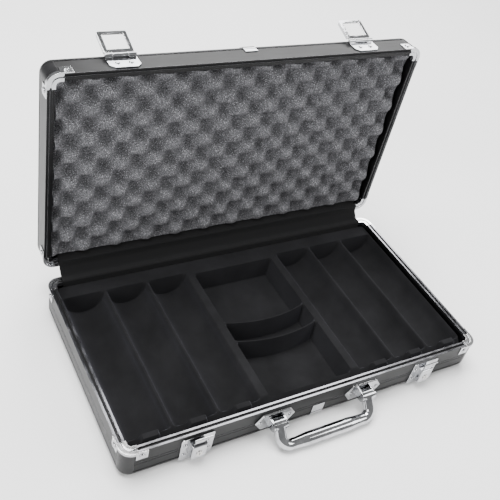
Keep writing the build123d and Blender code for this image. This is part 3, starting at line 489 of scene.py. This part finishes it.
def formed_tray():
    """Sheet formed over the tray's solid, with its rim turned down and closed."""
    columns = round(tray_span.x / TRAY_CELL)
    rows = round(tray_span.y / TRAY_CELL)
    middle = (tray_low + tray_high) / 2
    bpy.ops.mesh.primitive_grid_add(x_subdivisions=columns, y_subdivisions=rows, size=1,
                                    location=(middle.x, middle.y, tray_high.z + TRAY_DROP))
    sheet = bpy.context.object
    sheet.scale = (tray_span.x - 2 * TRAY_INSET, tray_span.y - 2 * TRAY_INSET, 1)
    bpy.ops.object.transform_apply(location=True, scale=True)
    inner = Vector((TRAY_INSET, TRAY_INSET, 0))
    for vertex in sheet.data.vertices:
        pull_in_corner(vertex.co, tray_low + inner, tray_high - inner, TRAY_CORNER)
        bend_rows(vertex.co)
    apply_modifier(sheet, "SHRINKWRAP", target=frame["nodes"]["chip_tray"], wrap_method="PROJECT",
                   use_project_z=True, use_negative_direction=True, use_positive_direction=False)
    apply_modifier(sheet, "SMOOTH", factor=0.5, iterations=3)
    close_back(sheet, squash=(1, 1, 0), centre=(0, 0, tray_low.z))
    bpy.ops.object.shade_smooth_by_angle(angle=TRAY_SMOOTH_ANGLE)
    return settle(sheet, "formed_tray", flock_finish, "base")


tray = formed_tray()
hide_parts("chip_tray")
print("formed tray:", len(tray.data.polygons), "faces")

# %% [markdown]
# ## Egg-crate foam
# Egg-crate foam is cut by a machine that squeezes a slab between two bumpy rollers, so its
# face is a wave in both directions: peaks stand where both waves rise or both fall. A
# dense grid whose points are lifted by that one formula gives it exactly. The wave is
# steepened with tanh, which flattens its peaks and hollows, and a power below one then makes
# the peaks broader than the hollows.
# %% Egg-crate foam
FOAM_WAVE_X = 33 * MM
FOAM_WAVE_Z = 31 * MM
FOAM_CELL = 1.15 * MM
FOAM_DEPTH = 15 * MM
FOAM_STEEP = 1.3
FOAM_BROAD = 0.85
FOAM_SMOOTH_ANGLE = radians(55)
foam_low, foam_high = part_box("lid_foam")
foam_span = foam_high - foam_low


def foam_height(x, z):
    """How far the foam's face lies behind its peaks, at a place on the lid."""
    wave_x = cos(2 * pi * (x - foam_low.x) / FOAM_WAVE_X)
    wave = wave_x * cos(2 * pi * (foam_high.z - z) / FOAM_WAVE_Z)
    fullness = 0.5 + 0.5 * tanh(FOAM_STEEP * wave) / tanh(FOAM_STEEP)
    return FOAM_DEPTH * (1 - fullness ** FOAM_BROAD)


def egg_crate():
    """Slab of foam with waves on the face that looks out of the lid."""
    columns = round(foam_span.x / FOAM_CELL)
    rows = round(foam_span.z / FOAM_CELL)
    bpy.ops.mesh.primitive_grid_add(x_subdivisions=columns, y_subdivisions=rows, size=1,
                                    rotation=(pi / 2, 0, 0))
    slab = bpy.context.object
    slab.scale = (foam_span.x, foam_span.z, 1)
    slab.location = ((foam_low.x + foam_high.x) / 2, foam_low.y, (foam_low.z + foam_high.z) / 2)
    bpy.ops.object.transform_apply(location=True, rotation=True, scale=True)
    for vertex in slab.data.vertices:
        vertex.co.y = foam_low.y + foam_height(vertex.co.x, vertex.co.z)
    close_back(slab, squash=(1, 0, 1), centre=(0, foam_high.y, 0))
    bpy.ops.object.shade_smooth_by_angle(angle=FOAM_SMOOTH_ANGLE)
    return settle(slab, "egg_crate_foam", foam_finish, "lid")


foam = egg_crate()
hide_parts("lid_foam")
print("egg-crate foam:", len(foam.data.polygons), "faces")

# %% [markdown]
# ## Cloth behind the hinge
# A strip of cloth is glued inside the base and inside the lid and hides the hinge. It is a
# sheet, so it starts as a flat grid of its cut size, and its rows of points are then laid
# along the strip's path. The path's corners are rounded by averaging, and a faint ripple
# keeps it from looking like sheet metal.
# %% Hinge cloth
CLOTH_T = 0.5 * MM
CLOTH_GAP = 0.3 * MM
CLOTH_OVER_RIM = 0.8 * MM
CLOTH_FLAP = 12 * MM
CLOTH_ROUNDING = 1.2 * MM
CLOTH_RIPPLE = 0.12 * MM
RIPPLE_SPACING = 7 * MM
CLOTH_COLUMNS = 90
CLOTH_ROWS = 48
CLOTH_SMOOTH_ANGLE = radians(60)
cloth_low, cloth_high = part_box("hinge_lining")
rim_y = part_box("base_rear_rail")[1].y
rim_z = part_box("base_rear_rail")[1].z
lid_edge_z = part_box("lid_rear_rail")[0].z
wall_y = cloth_low.y + CLOTH_GAP
over_z = rim_z + CLOTH_OVER_RIM
climb_y = cloth_high.y - CLOTH_FLAP
top_z = cloth_high.z - CLOTH_GAP
cloth_path = [Vector((wall_y, cloth_low.z)), Vector((wall_y, over_z)), Vector((rim_y, over_z)),
              Vector((climb_y - CLOTH_GAP, lid_edge_z)), Vector((climb_y - CLOTH_GAP, top_z)),
              Vector((cloth_high.y, top_z))]
cloth_runs = [(b - a).length for a, b in zip(cloth_path, cloth_path[1:])]
cloth_length = sum(cloth_runs)
cloth_width = cloth_high.x - cloth_low.x


def along_cloth(distance):
    """Point on the strip's path at a distance from its lower end."""
    for start, end, run in zip(cloth_path, cloth_path[1:], cloth_runs):
        if distance <= run:
            return start.lerp(end, distance / run)
        distance -= run
    return cloth_path[-1]


def hinge_cloth():
    """Strip of cloth laid along the path, thin but with two sides."""
    bpy.ops.mesh.primitive_grid_add(x_subdivisions=CLOTH_COLUMNS, y_subdivisions=CLOTH_ROWS,
                                    size=1)
    strip = bpy.context.object
    strip.scale = (cloth_width, cloth_length, 1)
    bpy.ops.object.transform_apply(scale=True)
    for vertex in strip.data.vertices:
        distance = vertex.co.y + cloth_length / 2
        near = [distance + step * CLOTH_ROUNDING for step in (-1, 0, 1)]
        samples = [along_cloth(min(max(spot, 0), cloth_length)) for spot in near]
        place = sum(samples, Vector((0, 0))) / len(samples)
        sway = sin(vertex.co.x / RIPPLE_SPACING) * sin(pi * distance / cloth_length)
        ripple = CLOTH_RIPPLE * sway
        vertex.co = Vector((vertex.co.x, place.x, place.y + ripple))
    apply_modifier(strip, "SOLIDIFY", thickness=CLOTH_T, offset=0)
    only(strip)
    bpy.ops.object.shade_smooth_by_angle(angle=CLOTH_SMOOTH_ANGLE)
    return settle(strip, "hinge_cloth", cloth_finish, None)


cloth = hinge_cloth()
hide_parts("hinge_lining")
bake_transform(cloth)
print("hinge cloth:", round(cloth_length / MM, 1), "mm long when flat")

# %% [markdown]
# ## Softened metal
# The measured metal pieces have razor edges, and nothing real does: an edge only catches
# light where it is rounded. Each piece is copied, its loose triangles are merged into clean
# faces, and a narrow Bevel rounds the edges. Weighted Normal then keeps the flat faces flat
# beside their rounded edges. The bevel's width follows how the piece is made: extruded rails
# are crisper than pressed brackets, and the domed rivets are rounded most.
# %% Softened metal
RAIL_EDGE = 0.35 * MM
PRESSED_EDGE = 0.4 * MM
SMALL_EDGE = 0.12 * MM
RIVET_EDGE = 0.5 * MM
MERGE_WITHIN = 0.002 * MM
FLAT_WITHIN = radians(0.6)
EDGE_FROM = radians(28)
METAL_SMOOTH_ANGLE = radians(38)
RIM_BAND = 0.3 * MM
UPWARD = 0.9


def on_rim(node, face):
    """True for a face on top of the base's rim, which takes the paler edge metal too: a painted
    highlight.
    """
    near_rim = abs(face.center.z - rim_z) < RIM_BAND
    return node.startswith("base") and face.normal.z > UPWARD and near_rim


def softened(node, finish, width, segments=2, painted_highlight_metal=None):
    """Copy of a measured piece with merged faces and rounded edges, which stands for it."""
    source = frame["nodes"][node]
    piece = source.copy()
    piece.data = source.data.copy()
    for key in list(piece.keys()):
        del piece[key]
    piece.parent = None
    bpy.context.scene.collection.objects.link(piece)
    only(piece)
    bpy.ops.object.mode_set(mode="EDIT")
    bpy.ops.mesh.select_all(action="SELECT")
    bpy.ops.mesh.customdata_custom_splitnormals_clear()
    bpy.ops.mesh.remove_doubles(threshold=MERGE_WITHIN)
    bpy.ops.mesh.dissolve_limited(angle_limit=FLAT_WITHIN)
    bpy.ops.object.mode_set(mode="OBJECT")
    # The paler metal on the bevel faces is a painted highlight.
    if painted_highlight_metal:
        piece.data.materials.clear()
        piece.data.materials.append(finish)
        piece.data.materials.append(painted_highlight_metal)
    if width:
        apply_modifier(piece, "BEVEL", width=width, segments=segments, limit_method="ANGLE",
                       angle_limit=EDGE_FROM, use_clamp_overlap=True,
                       material=1 if painted_highlight_metal else -1)
    only(piece)
    bpy.ops.object.shade_smooth_by_angle(angle=METAL_SMOOTH_ANGLE)
    apply_modifier(piece, "WEIGHTED_NORMAL", keep_sharp=True, weight=60)
    # Bevel faces and the base's rim top take the paler metal, a painted highlight.
    edges = [face.index for face in piece.data.polygons
             if face.material_index == 1 or on_rim(node, face)]
    settle(piece, node + "_finished", finish, source["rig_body"])
    if painted_highlight_metal:
        piece.data.materials.append(painted_highlight_metal)
        for index in edges:
            piece.data.polygons[index].material_index = 1
    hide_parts(node)
    return piece


def count_finished():
    """How many pieces have been softened so far."""
    return sum(1 for piece in bpy.data.objects if piece.name.endswith("_finished"))


for half, upright in (("base", rail_y), ("lid", rail_z)):
    for side in ("front", "rear"):
        softened(f"{half}_{side}_rail", rail_x, RAIL_EDGE, painted_highlight_metal=rail_edge)
        for hand in ("left", "right"):
            softened(f"{half}_bracket_{side}_{hand}", plate_finish, PRESSED_EDGE,
                     painted_highlight_metal=plate_edge)
    for side in ("left", "right"):
        softened(f"{half}_{side}_rail", upright, RAIL_EDGE, painted_highlight_metal=rail_edge)
    softened(f"{half}_corner_castings", corner_finish, RAIL_EDGE)
    softened(f"{half}_panel", board_finish, RAIL_EDGE)
    softened(f"{half}_bracket_rivets", plate_finish, RIVET_EDGE, segments=3)
    softened(f"{half}_seam_clip", plate_finish, SMALL_EDGE)
    softened(f"hinge_{half}_rivets", plate_finish, SMALL_EDGE)
print("softened frame pieces:", count_finished())

# %% Softened hardware
PRESSED_PLATES = ("hasp_plate", "hasp_loop", "latch_body", "handle_mount", "hinge_base_leaf",
                  "hinge_lid_leaf")
SMALL_PLATED = ("latch_slide", "hasp_pin", "handle_pin", "hinge_pin")
for hand in ("left", "right"):
    for node in PRESSED_PLATES:
        softened(f"{node}_{hand}", plate_finish, PRESSED_EDGE,
                 painted_highlight_metal=plate_edge)
    for node in SMALL_PLATED:
        softened(f"{node}_{hand}", plate_finish, SMALL_EDGE)
    softened(f"lock_cylinder_{hand}", nickel_finish, SMALL_EDGE)
    softened(f"latch_spring_{hand}", nickel_finish, 0)
for node in ("hasp_rivets", "latch_rivets", "handle_mount_rivets"):
    softened(node, plate_finish, SMALL_EDGE)
softened("handle_bail", plate_finish, 0)
print("softened pieces in all:", count_finished())

# %% [markdown]
# ## Floor and light
# The floor is plain and pale. One large soft lamp overhead gives the foam its shading and the
# metal its long highlights. Two weaker ones fill from the left and the right, and one behind
# the case skims the tops of the rails, which would otherwise be lost in black. The room
# itself is an even grey, darker than the floor, and the bright plates reflect both.
# %% Floor and light
FLOOR_SIZE = 8
ROOM_LIGHT = 0.4
CASE_MIDDLE = (0, 0, 0.1)
LAMPS = (("overhead", (-0.3, 0.3, 1.9), (0, 0, 0.05), 1.2, 88),
         ("left_fill", (-1.6, -0.7, 1.1), CASE_MIDDLE, 0.9, 22),
         ("right_fill", (1.3, -1.0, 1.3), CASE_MIDDLE, 0.8, 14),
         ("back_sheen", (1.0, 1.5, 1.6), CASE_MIDDLE, 1.4, 52))


def pale_floor():
    """Wide floor with a very faint mottle."""
    bpy.ops.mesh.primitive_plane_add(size=FLOOR_SIZE, location=(0, 0, 0))
    floor = bpy.context.object
    floor.name = "floor"
    material, tree, shader = start_material("pale_floor", (0.9, 0.9, 0.9), 0.7)
    cloud = noise(tree, place_vector(tree), 3, detail=2)
    tint(tree, shader, cloud, (0.90, 0.90, 0.90), (0.93, 0.93, 0.93))
    floor.data.materials.append(material)


def soft_lamp(name, place, target, size, power):
    """Square lamp that faces the target; size in metres, power in watts."""
    bpy.ops.object.light_add(type="AREA", location=place)
    lamp = bpy.context.object
    lamp.name = name
    lamp.data.size = size
    lamp.data.energy = power
    lamp.rotation_euler = (Vector(target) - Vector(place)).to_track_quat("-Z", "Y").to_euler()


pale_floor()
for lamp_settings in LAMPS:
    soft_lamp(*lamp_settings)
world = bpy.data.worlds.new("room")
bpy.context.scene.world = world
world.use_nodes = True
world.node_tree.nodes["Background"].inputs["Color"].default_value = (1, 1, 1, 1)
world.node_tree.nodes["Background"].inputs["Strength"].default_value = ROOM_LIGHT
print("lamps:", len(LAMPS))
